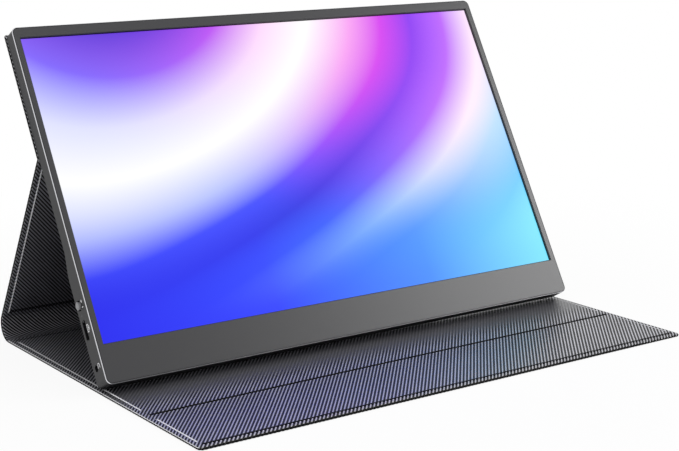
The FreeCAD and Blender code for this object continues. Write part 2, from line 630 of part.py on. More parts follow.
def speaker(middle):
    half = SPEAKER_LENGTH / 2
    height = SPEAKER_LOW + SPEAKER_WIDTH / 2
    top = SPEAKER_LOW + SPEAKER_WIDTH
    body = block(middle - half, middle + half, SPEAKER_LOW, top, SPEAKER_FRONT, CHAMBER_INSIDE)
    return body.cut(rod_z(CONE_RADIUS, middle, height, CHAMBER_INSIDE - CONE_RECESS, CHAMBER_INSIDE))


def speaker_parts():
    height = SPEAKER_LOW + SPEAKER_WIDTH / 2
    floor = CHAMBER_INSIDE - CONE_RECESS
    cones = [rod_z(CONE_RADIUS, side * SPEAKER_OFFSET, height, floor, floor + CONE_THICKNESS)
             for side in (-1, 1)]
    lead_depth = BOARD_BACK + LEAD_RADIUS
    near = -SPEAKER_OFFSET - SPEAKER_LENGTH / 2
    left = rod_x(LEAD_RADIUS, MAIN_RIGHT - RIBBON_LAP, near, height, lead_depth)
    top = SPEAKER_LOW + SPEAKER_WIDTH
    run = top + LEAD_RISE
    bend = LEAD_RISE
    turn = SPEAKER_OFFSET
    centre = Vector(turn - bend, top, -lead_depth)
    corner = centre + Vector(math.cos(math.pi / 4), math.sin(math.pi / 4), 0) * bend
    arc = Part.Arc(Vector(turn, top, -lead_depth), corner, Vector(turn - bend, run, -lead_depth)).toShape()
    line = Part.LineSegment(Vector(turn - bend, run, -lead_depth),
                            Vector(MAIN_RIGHT - RIBBON_LAP, run, -lead_depth)).toShape()
    ring = Part.Wire(Part.Circle(Vector(turn, top, -lead_depth), Vector(0, 1, 0), LEAD_RADIUS).toShape())
    right = Part.Wire([arc, line]).makePipeShell([ring], True, False)
    return {
        "left_speaker": [speaker(-SPEAKER_OFFSET)],
        "right_speaker": [speaker(SPEAKER_OFFSET)],
        "speaker_diaphragms": cones,
        "left_speaker_lead": [left],
        "right_speaker_lead": [right],
    }


def link_ribbon():
    half = RIBBON_WIDTH / 2
    return block(MAIN_RIGHT - RIBBON_LAP, USB_LEFT + RIBBON_LAP, RIBBON_HEIGHT - half,
                 RIBBON_HEIGHT + half, BOARD_BACK, BOARD_BACK + RIBBON_THICKNESS)


# Folio: each panel is a skin with turned edges, a stiff board in it and a lining on top
def folio_panel(low, high, low_radius=0.0, high_radius=0.0):
    half = CASE_WIDTH / 2
    outline = rectangle(-half, half, low, high, low_radius, high_radius)
    pocket = rectangle(-half + TURNED_EDGE, half - TURNED_EDGE, low + TURNED_EDGE, high - TURNED_EDGE)
    face = PANEL / 2
    lining = plate(outline, -face, SKIN - face)
    board = plate(pocket, SKIN - face, face - SKIN)
    skin = plate(outline, SKIN - face, face).cut(board)
    return skin, board, lining


def magnet_rows():
    """Heights up the slab of the two rows of magnets in the back panel."""
    return [FOLD_HEIGHT + MAGNET_EDGE, SLAB_HEIGHT - MAGNET_EDGE]


def back_panel():
    skin, board, lining = folio_panel(HINGE_GAP, BACK_PANEL_LENGTH, 0.0, TOP_CORNER)
    magnets = []
    for height in magnet_rows():
        y = height - FOLD_HEIGHT
        for x in (-MAGNET_OUTER, -MAGNET_INNER, MAGNET_INNER, MAGNET_OUTER):
            magnets.append(block(x - MAGNET_LENGTH / 2, x + MAGNET_LENGTH / 2, y - MAGNET_WIDTH / 2,
                                 y + MAGNET_WIDTH / 2, -STIFFENER / 2, STIFFENER / 2))
    return {"back_panel_skin": [skin], "back_panel_board": [board.cut(magnets)],
            "back_panel_lining": [lining], "back_panel_magnets": magnets}


def fold_strip(reach):
    """Skin and lining pinched together along a fold, joined to the panel that starts at reach."""
    half = CASE_WIDTH / 2
    bead = rod_x(BEAD_RADIUS, -half, half, 0, 0)
    web = block(-half, half, min(0, reach), max(0, reach), -WEB_THICKNESS / 2, WEB_THICKNESS / 2)
    return bead.fuse(web).removeSplitter()


def leg_panel():
    skin, board, lining = folio_panel(-LEG_LENGTH + SPINE_GAP, -LEG_HINGE_GAP)
    return {"leg_skin": [skin], "leg_board": [board], "leg_lining": [lining],
            "prop_fold_strip": [fold_strip(-LEG_HINGE_GAP)]}


def base_panel():
    end = BEND_Y + SHIFT_Y - CREASE_Y - SPINE_GAP
    skin, board, lining = folio_panel(HINGE_GAP, end)
    return {"base_skin": [skin], "base_board": [board], "base_lining": [lining],
            "crease_strip": [fold_strip(HINGE_GAP)]}


def front_flap():
    skin, board, lining = folio_panel(-FLAP_LENGTH, -HINGE_GAP, CASE_CORNER, 0.0)
    y = -FLAP_LENGTH + MAGNET_EDGE
    magnets = [rod_z(FLAP_MAGNET_RADIUS, x, y, -STIFFENER / 2, STIFFENER / 2)
               for x in (-MAGNET_OUTER, -MAGNET_INNER, MAGNET_INNER, MAGNET_OUTER)]
    return {"flap_skin": [skin], "flap_board": [board.cut(magnets)], "flap_lining": [lining],
            "flap_magnets": magnets}


def bend_layer(inner, outer):
    """Curved strip round the rear bend, between two radii."""
    centre = Vector(-CASE_WIDTH / 2, BEND_Y + SHIFT_Y, BEND_RADIUS)

    def at(radius, turn):
        angle = math.radians(turn)
        return centre + Vector(0, radius * math.sin(angle), -radius * math.cos(angle))

    def arc(radius, start, end):
        return Part.Arc(at(radius, start), at(radius, (start + end) / 2), at(radius, end)).toShape()

    def line(start, end):
        return Part.LineSegment(start, end).toShape()

    edges = [arc(outer, 0, BEND_ANGLE), line(at(outer, BEND_ANGLE), at(inner, BEND_ANGLE)),
             arc(inner, BEND_ANGLE, 0), line(at(inner, 0), at(outer, 0))]
    return Part.Face(Part.Wire(edges)).extrude(Vector(CASE_WIDTH, 0, 0))


def spine():
    inner = BEND_RADIUS - PANEL
    return {"spine_skin": [bend_layer(BEND_RADIUS - SKIN, BEND_RADIUS)],
            "spine_core": [bend_layer(inner + SKIN, BEND_RADIUS - SKIN)],
            "spine_lining": [bend_layer(inner, inner + SKIN)]}


def main():
    os.makedirs("parts", exist_ok=True)
    slab = {"rear_cover": [rear_cover()], "front_bezel": [front_bezel()], "main_board": [main_board()],
            "usb_board": [usb_board()], "board_link_ribbon": [link_ribbon()]}
    for group in (panel_stack(), panel_fittings(), board_parts(), fasteners(), sockets(), jog_parts(),
                  speaker_parts()):
        slab.update(group)
    stations = [(slab, SLAB_PLACE), (back_panel(), BACK_PANEL_PLACE), (leg_panel(), LEG_PLACE),
                (base_panel(), BASE_PLACE), (front_flap(), BASE_PLACE), (spine(), Placement())]
    for nodes, place in stations:
        for name, shapes in nodes.items():
            save(name, shapes, place)


if __name__ == "__main__":
    main()
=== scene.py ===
import json
import math

import bpy
from mathutils import Matrix, Vector


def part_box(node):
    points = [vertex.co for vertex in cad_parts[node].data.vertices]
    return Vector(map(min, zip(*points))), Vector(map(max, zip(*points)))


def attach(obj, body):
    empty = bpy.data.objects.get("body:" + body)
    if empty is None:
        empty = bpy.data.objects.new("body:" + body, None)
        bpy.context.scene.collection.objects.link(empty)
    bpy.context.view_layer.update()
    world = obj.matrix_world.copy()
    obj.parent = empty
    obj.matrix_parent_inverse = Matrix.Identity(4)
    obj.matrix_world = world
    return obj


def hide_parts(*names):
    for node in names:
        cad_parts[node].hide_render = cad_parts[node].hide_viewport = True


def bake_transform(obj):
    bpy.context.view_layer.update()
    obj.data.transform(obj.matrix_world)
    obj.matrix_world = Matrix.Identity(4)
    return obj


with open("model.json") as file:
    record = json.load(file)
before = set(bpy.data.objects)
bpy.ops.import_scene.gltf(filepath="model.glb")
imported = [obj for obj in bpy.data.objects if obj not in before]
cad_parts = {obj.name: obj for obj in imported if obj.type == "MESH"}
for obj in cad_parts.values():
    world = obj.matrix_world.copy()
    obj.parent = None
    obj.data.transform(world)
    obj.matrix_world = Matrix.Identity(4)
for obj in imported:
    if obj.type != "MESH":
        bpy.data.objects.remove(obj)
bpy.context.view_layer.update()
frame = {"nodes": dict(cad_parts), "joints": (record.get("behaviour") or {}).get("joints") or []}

MM = 0.001

# Photograph's view
PICTURE_WIDTH = 679
FOCAL_PIXELS = 1546.8
SENSOR = 36.0
CAMERA_PLACE = (-0.5463, -0.7902, 0.2797)
AZIMUTH = -34.72
ELEVATION = 12.074
ROLL = -0.618

# Folio's flat layout: x across, s along the sheet from the crease, up on the side that faces the slab
FOLD_GAP = 1.2 * MM
LEG_FOLD_GAP = 3.0 * MM
PANEL_HALF = 1.2 * MM
PROP_STEPS = 8
CREASE_STEPS = 6
BEND_OUTER = 10.8 * MM
BEND_RADIUS = BEND_OUTER - PANEL_HALF
BEND_ANGLE = math.radians(122.0)
SLAB_RISE = math.radians(60.5)
BEND_STEPS = 10

# Twill ribs, by hand: 1 on flap and base, -1 from the spine up; pressed edges of the boards under them
RIB_LEAN = {1: math.radians(39.8), -1: math.radians(41.0)}
RIB_PITCH = {1: 2.0 * MM, -1: 1.81 * MM}
RIB_HEIGHT = 0.18 * MM
SKIN_LEVEL = 0.72 * MM
BOARD_LEVEL = 0.93 * MM
EDGE_ROUND = 1.0 * MM
RIM_STEPS = ((0.6, 0.2 * MM), (0.3, 0.3 * MM), (0.1, 0.3 * MM))
CASE_CORNER = 4.0 * MM
TOP_CORNER = 2.4 * MM
BOARD_SIDE = 4.3 * MM
BOARD_END = 5.6 * MM
GROOVE_WIDTH = 2.4 * MM
BOARD_SINK = 0.4 * MM
PRESS_WIDTH = 0.8 * MM
LINE_STOP = 9.0 * MM
GROOVE_DEPTH = 0.7 * MM
RIB_THREADS = 3.0
RIB_FOOT = 0.4
RIB_CREST = 0.85
PATCH_SCALE = 0.08

# Painted shade: a soft band along the monitor's lower edge where the ribs fade to an even dark grey, standing
# in for the shade and dark reflection of the monitor's chin
SHADE_AHEAD = 40.0 * MM
SHADE_FULL = 12.0 * MM
SHADE_BEHIND = 14.0 * MM
SHADE_SHARE = 0.95
SHADE_LEVEL = 0.64
BACK_PANEL_LENGTH = 81.4 * MM

# Screen
SCREEN_WIDTH = 344.2 * MM
SCREEN_HEIGHT = 193.6 * MM
DARK_MARGIN = 0.35 * MM

# Signs printed on the left wall: (forward, up) from the control each stands by
JOG_SIGN = (4.4 * MM, -0.3 * MM)
PORT_SIGN = (3.6 * MM, 0.4 * MM)
JACK_SIGN = (4.0 * MM, 0.9 * MM)
SIGN_STROKE = 0.6 * MM
PLUS_WIDTH = 2.0 * MM
PLUS_RISE = 1.8 * MM
MINUS_DROP = 1.6 * MM
PICTURE_FRAME = (2.1 * MM, 4.8 * MM)
FOOT_LENGTH = 2.8 * MM
EAR_CUP = (0.8 * MM, 1.2 * MM)
BAND_RADIUS = 1.5 * MM
PRINT_THICKNESS = 0.02 * MM

# Light
ROOM_LEVEL = 0.5
KEY_POWER = 17.0
TOP_POWER = 8.0
FLOOR_SIZE = 12

joint_axis = {joint["name"]: joint.get("pos_m") for joint in frame["joints"]}
CREASE = joint_axis["front_flap_fold"]
PROP = joint_axis["prop_fold"]
flap_low, flap_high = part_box("flap_skin")
spine_low, spine_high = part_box("spine_skin")
CASE_HALF = flap_high.x
MONITOR_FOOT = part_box("rear_cover")[0].y
FLAP_LENGTH = CREASE[1] - flap_low.y
BEND_CENTRE = (spine_high.y - BEND_OUTER, BEND_OUTER)
BASE_LENGTH = BEND_CENTRE[0] - CREASE[1]
BEND_LENGTH = BEND_RADIUS * BEND_ANGLE
BEND_TOP = (BEND_CENTRE[0] + BEND_RADIUS * math.sin(BEND_ANGLE),
            BEND_CENTRE[1] - BEND_RADIUS * math.cos(BEND_ANGLE))
LEG_LENGTH = math.hypot(PROP[1] - BEND_TOP[0], PROP[2] - BEND_TOP[1])
LEG_START = BASE_LENGTH + BEND_LENGTH
PROP_AT = LEG_START + LEG_LENGTH


# Modelling helpers
def clear_selection():
    if bpy.context.object and bpy.context.object.mode != "OBJECT":
        bpy.ops.object.mode_set(mode="OBJECT")
    bpy.ops.object.select_all(action="DESELECT")


def take(piece):
    clear_selection()
    piece.select_set(True)
    bpy.context.view_layer.objects.active = piece


def choose(piece, kind, test):
    """Select the vertices, edges or faces that pass the test and stay in edit mode."""
    take(piece)
    bpy.ops.object.mode_set(mode="EDIT")
    bpy.ops.mesh.select_mode(type=kind)
    bpy.ops.mesh.select_all(action="DESELECT")
    bpy.ops.object.mode_set(mode="OBJECT")
    mesh = piece.data
    items = {"VERT": mesh.vertices, "EDGE": mesh.edges, "FACE": mesh.polygons}[kind]
    for item in items:
        item.select = test(item)
    bpy.ops.object.mode_set(mode="EDIT")


def slice_sheet(place, normal, trim):
    """Cut across the whole mesh in edit mode, and drop what lies past the cut if trim is set."""
    bpy.ops.mesh.select_all(action="SELECT")
    bpy.ops.mesh.bisect(plane_co=place, plane_no=normal, clear_outer=trim)


def apply_modifier(piece, kind, **settings):
    take(piece)
    bpy.ops.object.modifier_add(type=kind)
    modifier = piece.modifiers[-1]
    for name, value in settings.items():
        setattr(modifier, name, value)
    bpy.ops.object.modifier_apply(modifier=modifier.name)


def join(pieces):
    clear_selection()
    for piece in pieces:
        piece.select_set(True)
    bpy.context.view_layer.objects.active = pieces[0]
    bpy.ops.object.join()
    return bpy.context.object


def smooth(piece, degrees):
    take(piece)
    bpy.ops.object.shade_smooth_by_angle(angle=math.radians(degrees))


# Folio
def ribbed_sheet(name, half, low, high, level, hand, corner_ends=(), corner=0.0):
    """Twill sheet in the flat layout, trimmed to a rectangle, with rounded corners at corner_ends."""
    lean, pitch = hand * RIB_LEAN[hand], RIB_PITCH[hand]
    corners = [(x, s) for x in (-half, half) for s in (low, high)]
    across = [x * math.cos(lean) - s * math.sin(lean) for x, s in corners]
    along = [x * math.sin(lean) + s * math.cos(lean) for x, s in corners]
    first = math.floor(min(across) / pitch) - 1
    count = math.ceil(max(across) / pitch) - first + 1
    length = max(along) - min(along) + pitch
    clear_selection()
    bpy.ops.mesh.primitive_grid_add(x_subdivisions=4, y_subdivisions=1, size=1)
    sheet = bpy.context.object
    sheet.name = name
    sheet.scale = (pitch, length, 1)
    sheet.location = ((first + 0.5) * pitch, (min(along) + max(along)) / 2, level)
    bpy.ops.object.transform_apply(location=True, rotation=True, scale=True)
    middle = (first + 0.5) * pitch
    choose(sheet, "VERT", lambda v: abs(v.co.x - middle) < 0.3 * pitch)
    bpy.ops.transform.translate(value=(0, 0, 0.6 * RIB_HEIGHT))
    choose(sheet, "VERT", lambda v: abs(v.co.x - middle) < 0.1 * pitch)
    bpy.ops.transform.translate(value=(0, 0, 0.4 * RIB_HEIGHT))
    apply_modifier(sheet, "ARRAY", count=count, use_relative_offset=False, use_constant_offset=True,
                   constant_offset_displace=(pitch, 0, 0), use_merge_vertices=True,
                   merge_threshold=pitch / 100)
    sheet.rotation_euler = (0, 0, -lean)
    bpy.ops.object.transform_apply(location=True, rotation=True, scale=True)
    bpy.ops.object.mode_set(mode="EDIT")
    for side in (-1, 1):
        slice_sheet((side * half, 0, 0), (side, 0, 0), True)
    slice_sheet((0, low, 0), (0, -1, 0), True)
    slice_sheet((0, high, 0), (0, 1, 0), True)
    for end in corner_ends:
        edge = low if end < 0 else high
        for side in (-1, 1):
            for step in range(1, 6):
                turn = math.radians(15 * step)
                normal = Vector((side * math.sin(turn), end * math.cos(turn), 0))
                centre = Vector((side * (half - corner), edge - end * corner, 0))
                slice_sheet(centre + normal * corner, normal, True)
    bpy.ops.object.mode_set(mode="OBJECT")
    return sheet


def rim(sheet, outset, drop, flat=None, hold=None, end_outset=None):
    """Run the sheet's border outwards and down; hold keeps an open end of the sheet in line."""
    reach = outset if end_outset is None else end_outset
    half = max(v.co.x for v in sheet.data.vertices)
    low = min(v.co.y for v in sheet.data.vertices)
    high = max(v.co.y for v in sheet.data.vertices)
    take(sheet)
    bpy.ops.object.mode_set(mode="EDIT")
    bpy.ops.mesh.select_mode(type="EDGE")
    bpy.ops.mesh.select_all(action="DESELECT")
    bpy.ops.mesh.select_non_manifold()
    bpy.ops.mesh.extrude_edges_move(TRANSFORM_OT_translate={"value": (0, 0, -drop)})
    length = high - low
    along = {None: 1 + 2 * reach / length, "low": 1 + reach / length, "high": 1 + reach / length,
             "both": 1}
    centre = {None: (low + high) / 2, "low": low, "high": high, "both": low}[hold]
    if outset:
        bpy.ops.transform.resize(value=((half + outset) / half, along[hold], 1),
                                 center_override=(0, centre, 0))
    if flat is not None:
        bpy.ops.transform.resize(value=(1, 1, 0), center_override=(0, centre, flat))
    bpy.ops.object.mode_set(mode="OBJECT")


def folio_skin(name, low, high, hold, hand, corner_ends=(), corner=CASE_CORNER):
    """Wrapped panel: ribs on both faces and a rounded rim where the sheet ends."""
    inner_low = low if hold in ("low", "both") else low + EDGE_ROUND
    inner_high = high if hold in ("high", "both") else high - EDGE_ROUND
    sheet = ribbed_sheet(name, CASE_HALF - EDGE_ROUND, inner_low, inner_high, SKIN_LEVEL, hand,
                         corner_ends, corner - EDGE_ROUND)
    for step, (share, drop) in enumerate(RIM_STEPS, 1):
        rim(sheet, share * EDGE_ROUND, drop, 0.0 if step == len(RIM_STEPS) else None, hold)
    apply_modifier(sheet, "MIRROR", use_axis=(False, False, True), use_mirror_merge=True,
                   merge_threshold=1e-6)
    choose(sheet, "VERT", lambda v: v.co.z < -0.1 * MM)
    bpy.ops.transform.translate(value=(0, 0, SKIN_LEVEL - BOARD_LEVEL))
    bpy.ops.object.mode_set(mode="OBJECT")
    return sheet


def board_face(name, low, high, hand):
    """Lining pressed over a board, a little above the skin round it, with a slanted edge."""
    half = CASE_HALF - BOARD_SIDE
    sheet = ribbed_sheet(name, half, low, high, BOARD_LEVEL, hand)
    rim(sheet, PRESS_WIDTH, BOARD_LEVEL - SKIN_LEVEL, end_outset=GROOVE_WIDTH)
    rim(sheet, 0.0, RIM_STEPS[0][1], SKIN_LEVEL - BOARD_SINK)
    take(sheet)
    bpy.ops.object.mode_set(mode="EDIT")
    bpy.ops.mesh.select_mode(type="EDGE")
    bpy.ops.mesh.select_all(action="DESELECT")
    bpy.ops.mesh.select_non_manifold()
    bpy.ops.mesh.edge_face_add()
    bpy.ops.object.mode_set(mode="OBJECT")
    return sheet


def lay_out(piece, hand):
    """Store the cloth's map, across and along its ribs and counted in them."""
    mesh = piece.data
    while mesh.uv_layers:
        mesh.uv_layers.remove(mesh.uv_layers[0])
    layer = mesh.uv_layers.new(name="layout")
    lean, pitch = RIB_LEAN[hand], RIB_PITCH[hand]
    for loop in mesh.loops:
        spot = mesh.vertices[loop.vertex_index].co
        across = hand * spot.x * math.cos(lean) - spot.y * math.sin(lean)
        along = hand * spot.x * math.sin(lean) + spot.y * math.cos(lean)
        layer.data[loop.index].uv = (across / pitch, along / pitch)


def place(piece, start, turn, origin):
    """Move a flat panel whose layout starts at start to its place, turned about the case's width."""
    piece.data.transform(Matrix.Translation((0, -start, 0)))
    piece.rotation_euler = (turn, 0, 0)
    piece.location = (0, origin[0], origin[1])
    take(piece)
    bpy.ops.object.transform_apply(location=True, rotation=True, scale=True)


def round_bend(spot):
    turn = (spot.y - BASE_LENGTH) / BEND_RADIUS
    radius = BEND_RADIUS - spot.z
    return Vector((spot.x, BEND_CENTRE[0] + radius * math.sin(turn),
                   BEND_CENTRE[1] - radius * math.cos(turn)))


def round_prop(spot):
    """From the leg's plane to the back panel's across the prop fold."""
    s = spot.y - PROP_AT
    share = min(max((s + FOLD_GAP) / (2 * FOLD_GAP), 0), 1)
    turn = BEND_ANGLE + (SLAB_RISE - BEND_ANGLE) * share
    y = s * math.cos(turn) - spot.z * math.sin(turn)
    z = s * math.sin(turn) + spot.z * math.cos(turn)
    return Vector((spot.x, PROP[1] + y, PROP[2] + z))


def bend_piece(piece, shape):
    for vertex in piece.data.vertices:
        vertex.co = shape(vertex.co)


def divide(piece, low, high, steps):
    take(piece)
    bpy.ops.object.mode_set(mode="EDIT")
    for step in range(1, steps):
        slice_sheet((0, low + (high - low) * step / steps, 0), (0, 1, 0), False)
    bpy.ops.object.mode_set(mode="OBJECT")


def dress(sheet, finish, pale_rim):
    """Twill inside, the darker copy with painted shade outside, a black turned edge that also carries painted
    shade, and a line of painted highlight on the slanted rim if asked.
    """
    for material in (finish, painted_highlight_edge, painted_shade_groove, turned_edge_and_shade, painted_shade_twill):
        sheet.data.materials.append(material)
    for face in sheet.data.polygons:
        rise = face.normal.z
        if pale_rim and 0.6 < rise < 0.8 and abs(face.normal.x) > 0.5:
            face.material_index = 1
        elif -0.9 < rise < 0.75:
            face.material_index = 3
        elif rise < 0:
            face.material_index = 4


def panel_cover(name, span, hold, board, line, hand, finish, corner_ends=(), corner=CASE_CORNER):
    """Panel of the folio; span, board and line are (low, high) of panel, board and the lines of painted
    highlight.
    """
    skin = folio_skin(name, *span, hold, hand, corner_ends, corner)
    lining = board_face(name + "_board", *board, hand)
    board_half = CASE_HALF - BOARD_SIDE
    lay_out(skin, hand)
    lay_out(lining, hand)
    dress(skin, finish, hand > 0)
    dress(lining, finish, False)
    for face in lining.data.polygons:
        spot = face.center
        # Slanted sides of the board face: painted highlight within the line's span, twill past it
        if abs(spot.x) > board_half:
            face.material_index = 1 if line[0] < spot.y < line[1] else 0
        # Ends of the board away from the crease: painted shade in the groove
        elif abs(spot.y) > 2 * GROOVE_WIDTH and not board[0] < spot.y < board[1]:
            face.material_index = 2
    piece = join([skin, lining])
    smooth(piece, 35)
    return piece


def fold_cover(name, low, high, steps, shape, hand, finish):
    """Soft strip between two panels, shaped round its fold."""
    piece = folio_skin(name, low, high, "both", hand)
    divide(piece, low, high, steps)
    lay_out(piece, hand)
    dress(piece, finish, hand > 0)
    # Painted shade: the crease's pressed groove between the boards is coloured near black
    if shape is flat_crease:
        for face in piece.data.polygons:
            if abs(face.center.x) < CASE_HALF - BOARD_SIDE and face.center.z > 0:
                face.material_index = 2
    bend_piece(piece, shape)
    smooth(piece, 35)
    return piece


def flat_crease(spot):
    """Pressed groove along the crease, between the boards on its two sides."""
    depth = 0.0
    if abs(spot.x) < CASE_HALF - BOARD_SIDE and spot.z > 0:
        depth = GROOVE_DEPTH * max(0.0, 1 - abs(spot.y) / FOLD_GAP)
    return Vector((spot.x, CREASE[1] + spot.y, CREASE[2] + spot.z - depth))


def make_folio():
    front = -FLAP_LENGTH
    flap = panel_cover("flap_cover", (front, -FOLD_GAP), "high",
                       (front + BOARD_END, -FOLD_GAP - GROOVE_WIDTH),
                       (front + LINE_STOP, -LINE_STOP), 1, twill, (-1,))
    place(flap, 0.0, 0.0, CREASE[1:])
    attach(flap, "front_flap")
    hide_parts("flap_skin", "flap_lining")

    crease = fold_cover("crease_fold", -FOLD_GAP, FOLD_GAP, CREASE_STEPS, flat_crease, 1, twill)
    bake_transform(crease)
    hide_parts("crease_strip")

    base = panel_cover("base_cover", (FOLD_GAP, BASE_LENGTH), "both",
                       (FOLD_GAP + GROOVE_WIDTH, BASE_LENGTH - BOARD_END),
                       (LINE_STOP, BASE_LENGTH - LINE_STOP), 1, twill)
    place(base, 0.0, 0.0, CREASE[1:])
    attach(base, "base")
    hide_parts("base_skin", "base_lining")

    half = BASE_LENGTH + BEND_LENGTH / 2
    lower = fold_cover("spine_cover_lower", BASE_LENGTH, half, BEND_STEPS, round_bend, -1, twill)
    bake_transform(lower)
    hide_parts("spine_skin", "spine_core")
    upper = fold_cover("spine_cover_upper", half, LEG_START, BEND_STEPS, round_bend, -1, twill)
    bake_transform(upper)
    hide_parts("spine_lining")

    # Leg, prop fold and back panel take the cloth's darker copy: painted shade
    low = PROP_AT - LEG_FOLD_GAP
    leg = panel_cover("leg_cover", (LEG_START, low), "both", (LEG_START + BOARD_END, low - BOARD_END),
                      (LEG_START, low), -1, painted_shade_twill)
    place(leg, PROP_AT, BEND_ANGLE, PROP[1:])
    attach(leg, "leg")
    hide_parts("leg_skin", "leg_lining")

    high = PROP_AT + FOLD_GAP
    fold = fold_cover("prop_fold", low, high, PROP_STEPS, round_prop, -1, painted_shade_twill)
    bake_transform(fold)
    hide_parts("prop_fold_strip")

    top = PROP_AT + BACK_PANEL_LENGTH
    back = panel_cover("back_panel_cover", (high, top), "low", (high + BOARD_END, top - BOARD_END),
                       (high, top), -1, painted_shade_twill, (1,), TOP_CORNER)
    place(back, PROP_AT, SLAB_RISE, PROP[1:])
    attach(back, "display")
    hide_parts("back_panel_skin", "back_panel_lining")


# Signs on the left wall
def bar(width, height, across, up):
    """Flat bar of print, drawn about the sign's own middle."""
    clear_selection()
    bpy.ops.mesh.primitive_plane_add(size=1, location=(across, up, 0))
    piece = bpy.context.object
    piece.scale = (width, height, 1)
    bpy.ops.object.transform_apply(location=True, rotation=True, scale=True)
    return piece


def outline(width, height, stroke):
    """Frame of print: a bar with its middle taken out."""
    piece = bar(width, height, 0, 0)
    bpy.ops.object.mode_set(mode="EDIT")
    bpy.ops.mesh.select_all(action="SELECT")
    bpy.ops.mesh.inset(thickness=stroke)
    bpy.ops.mesh.delete(type="FACE")
    bpy.ops.object.mode_set(mode="OBJECT")
    return piece


def band(radius, stroke, cut):
    """Part of a ring of print, the part above the height cut."""
    clear_selection()
    bpy.ops.mesh.primitive_circle_add(vertices=32, radius=radius)
    piece = bpy.context.object
    bpy.ops.object.mode_set(mode="EDIT")
    bpy.ops.mesh.select_all(action="SELECT")
    inner = (radius - stroke) / radius
    bpy.ops.mesh.extrude_edges_move()
    bpy.ops.transform.resize(value=(inner, inner, 1), center_override=(0, 0, 0))
    slice_sheet((0, cut, 0), (0, -1, 0), True)
    bpy.ops.object.mode_set(mode="OBJECT")
    return piece


def print_sign(name, strokes, node, offset):
    """Join a sign's strokes and lay them on the wall, forward and up from the middle of a control."""
    piece = join(strokes)
    piece.name = name
    take(piece)
    bpy.ops.object.mode_set(mode="EDIT")
    bpy.ops.mesh.select_all(action="SELECT")
    bpy.ops.mesh.normals_make_consistent(inside=False)
    bpy.ops.object.mode_set(mode="OBJECT")
    apply_modifier(piece, "SOLIDIFY", thickness=PRINT_THICKNESS, offset=0)
    low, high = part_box(node)
    middle = (low + high) / 2
    forward = Vector((0, -math.sin(SLAB_RISE), math.cos(SLAB_RISE)))
    up = Vector((0, math.cos(SLAB_RISE), math.sin(SLAB_RISE)))
    spot = Vector((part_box("rear_cover")[0].x, middle.y, middle.z)) + forward * offset[0] + up * offset[1]
    turn = Matrix((forward, up, Vector((-1, 0, 0)))).transposed()
    piece.matrix_world = Matrix.Translation(spot) @ turn.to_4x4()
    bpy.ops.object.transform_apply(location=True, rotation=True, scale=True)
    piece.data.materials.append(white_print)
    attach(piece, "display")


def make_signs():
    line = SIGN_STROKE
    arm = (PLUS_WIDTH - line) / 2
    reach = (line + arm) / 2
    plus = [bar(PLUS_WIDTH, line, 0, PLUS_RISE)]
    plus += [bar(line, arm, 0, PLUS_RISE + side * reach) for side in (-1, 1)]
    minus = bar(PLUS_WIDTH, line, 0, -MINUS_DROP)
    print_sign("jog_sign", plus + [minus], "jog_cap", JOG_SIGN)
    screen_line = outline(*PICTURE_FRAME, line)
    foot = [bar(0.5 * MM, line, 1.3 * MM, 0), bar(line, FOOT_LENGTH, 1.85 * MM, 0)]
    print_sign("video_sign", [screen_line] + foot, "mini_hdmi_socket", PORT_SIGN)
    band_cut = -EAR_CUP[1] / 4
    cups = [bar(*EAR_CUP, side * 1.15 * MM, -0.9 * MM) for side in (-1, 1)]
    print_sign("headphone_sign", [band(BAND_RADIUS, line, band_cut)] + cups, "headphone_jack", JACK_SIGN)


# Material helpers
def colour(text):
    """sRGB hex to a linear colour."""
    parts = [int(text[index:index + 2], 16) / 255 for index in (1, 3, 5)]
    return [part / 12.92 if part <= 0.04045 else ((part + 0.055) / 1.055) ** 2.4 for part in parts] + [1.0]


def add(tree, kind, links=None, **settings):
    """Add a node; links gives its inputs, as values or as other nodes' sockets."""
    made = tree.nodes.new(kind)
    for name, value in settings.items():
        setattr(made, name, value)
    for name, value in (links or {}).items():
        if isinstance(value, bpy.types.NodeSocket):
            tree.links.new(value, made.inputs[name])
        else:
            made.inputs[name].default_value = value
    return made


def new_material(name, **values):
    """Material with the plain values of its shader set on its own sockets."""
    material = bpy.data.materials.new(name)
    material.use_nodes = True
    shader = material.node_tree.nodes["Principled BSDF"]
    for socket, value in values.items():
        shader.inputs[socket.replace("_", " ")].default_value = value
    return material, material.node_tree, shader


def ramp(tree, factor, stops):
    made = add(tree, "ShaderNodeValToRGB", {"Fac": factor})
    elements = made.color_ramp.elements
    while len(elements) < len(stops):
        elements.new(1.0)
    for element, (spot, text) in zip(elements, stops):
        element.position = spot
        element.color = colour(text)
    return made.outputs["Color"]


def grainy(name, dark, light, grain, bump, **values):
    """Plain finish with a fine grain: its two colours, the grain's size and the bump's height in mm."""
    material, tree, shader = new_material(name, **values)
    spot = add(tree, "ShaderNodeTexCoord").outputs["Object"]
    noise = add(tree, "ShaderNodeTexNoise", {"Vector": spot, "Scale": 1 / (grain * MM), "Detail": 2.0})
    shade = ramp(tree, noise.outputs["Fac"], [(0.3, dark), (0.7, light)])
    tree.links.new(shade, shader.inputs["Base Color"])
    relief = add(tree, "ShaderNodeBump", {"Height": noise.outputs["Fac"], "Distance": bump * MM})
    tree.links.new(relief.outputs["Normal"], shader.inputs["Normal"])
    return material


